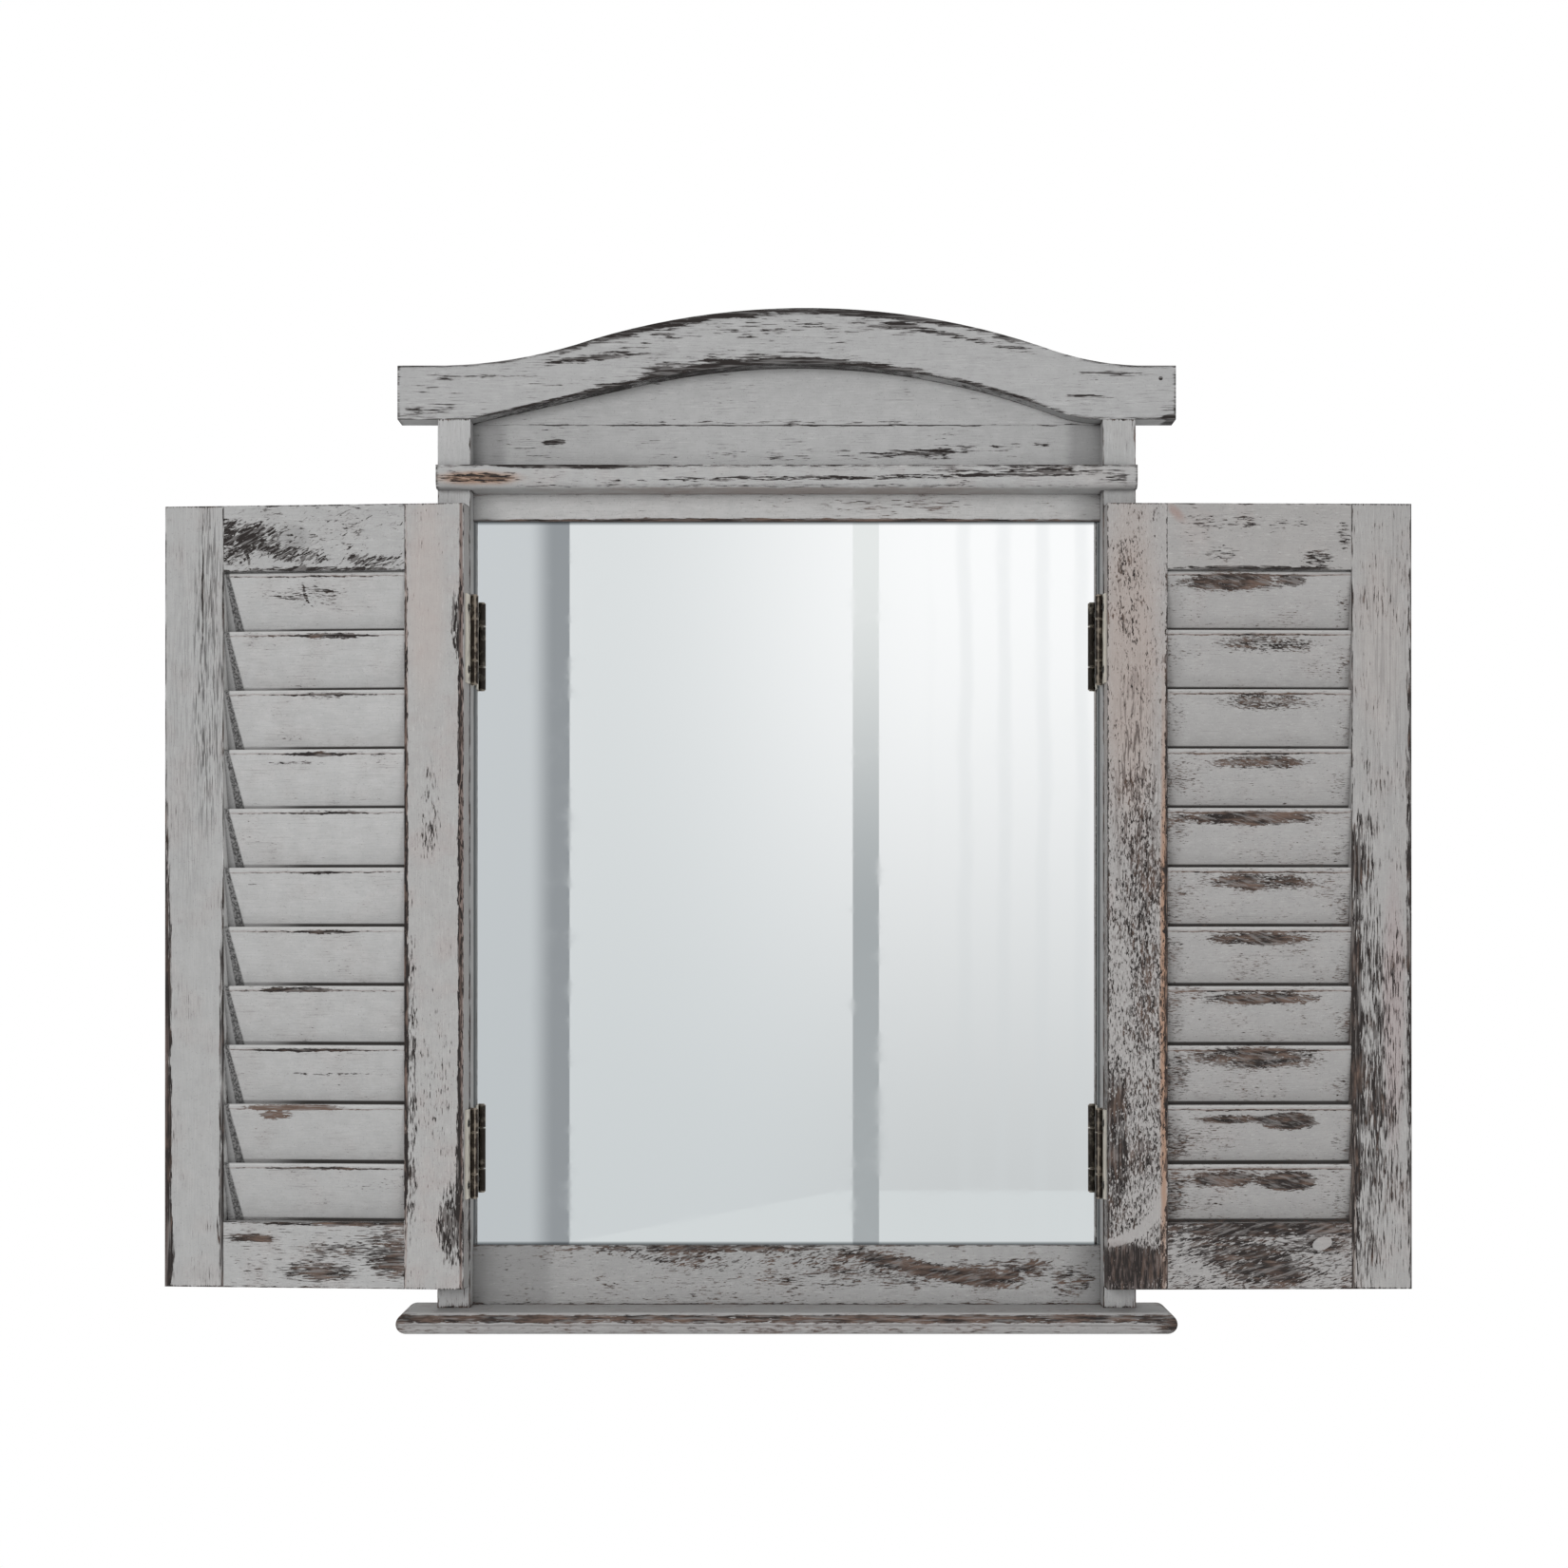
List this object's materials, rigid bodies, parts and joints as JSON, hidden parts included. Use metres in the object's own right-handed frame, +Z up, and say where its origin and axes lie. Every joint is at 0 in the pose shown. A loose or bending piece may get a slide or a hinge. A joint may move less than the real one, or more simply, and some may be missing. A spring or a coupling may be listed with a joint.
{
  "type": "shutter mirror",
  "caption": "Window-style wall mirror in a grey-washed wooden frame with an arched crown, shelf moulding and sill, and hinged louvred shutters folded open.",
  "frame": {"origin": "midway between the round holes of the two hanger plates, on the wall plane", "axes": "+X to the right as seen from the front, +Y into the wall, +Z up"},
  "size_m": [0.6444, 0.05, 0.531],
  "materials": {
    "frame_paint": "matt grey wash, rubbed through to dark wood at the edges",
    "shutter_paint": "matt grey wash, rubbed through to brown and black grain",
    "slat_paint": "matt grey wash with a few rubbed marks",
    "mirror": "clear silvered glass",
    "hardboard": "plain brown hardboard",
    "old_brass": "aged, nearly black brass",
    "plated_steel": "zinc plated",
    "dowel_wood": "raw beech"
  },
  "bodies": {
    "frame": {"left_post": "frame_paint", "right_post": "frame_paint", "crown_board": "frame_paint", "tympanum_upper_board": "frame_paint", "tympanum_lower_board": "frame_paint", "shelf_moulding": "frame_paint", "top_rail": "frame_paint", "bottom_rail": "frame_paint", "sill": "frame_paint", "mirror_glass": "mirror", "back_panel": "hardboard", "glazing_points": "plated_steel", "left_hanger_plate": "plated_steel", "right_hanger_plate": "plated_steel", "hanger_screws": "plated_steel", "sill_screws": "plated_steel", "crown_dowels": "dowel_wood", "left_upper_post_leaf": "old_brass", "left_lower_post_leaf": "old_brass", "right_upper_post_leaf": "old_brass", "right_lower_post_leaf": "old_brass", "post_leaf_screws": "old_brass", "hinge_pins": "old_brass"},
    "left_shutter": {"left_outer_stile": "shutter_paint", "left_inner_stile": "shutter_paint", "left_shutter_top_rail": "shutter_paint", "left_shutter_bottom_rail": "shutter_paint", "left_slat_1": "slat_paint", "left_slat_2": "slat_paint", "left_slat_3": "slat_paint", "left_slat_4": "slat_paint", "left_slat_5": "slat_paint", "left_slat_6": "slat_paint", "left_slat_7": "slat_paint", "left_slat_8": "slat_paint", "left_slat_9": "slat_paint", "left_slat_10": "slat_paint", "left_slat_11": "slat_paint", "left_upper_shutter_leaf": "old_brass", "left_lower_shutter_leaf": "old_brass", "left_shutter_screws": "old_brass"},
    "right_shutter": {"right_outer_stile": "shutter_paint", "right_inner_stile": "shutter_paint", "right_shutter_top_rail": "shutter_paint", "right_shutter_bottom_rail": "shutter_paint", "right_slat_1": "slat_paint", "right_slat_2": "slat_paint", "right_slat_3": "slat_paint", "right_slat_4": "slat_paint", "right_slat_5": "slat_paint", "right_slat_6": "slat_paint", "right_slat_7": "slat_paint", "right_slat_8": "slat_paint", "right_slat_9": "slat_paint", "right_slat_10": "slat_paint", "right_slat_11": "slat_paint", "right_upper_shutter_leaf": "old_brass", "right_lower_shutter_leaf": "old_brass", "right_shutter_screws": "old_brass"}
  },
  "joints": [
    {"name": "left_shutter_hinge", "type": "hinge", "parent": "frame", "child": "left_shutter", "pos_m": [-0.1623, -0.0265, 0], "axis": [0, 0, 1], "range_deg": [-4.5, 185.5]},
    {"name": "right_shutter_hinge", "type": "hinge", "parent": "frame", "child": "right_shutter", "pos_m": [0.1623, -0.0265, 0], "axis": [0, 0, -1], "range_deg": [-8.5, 181.5]}
  ]
}
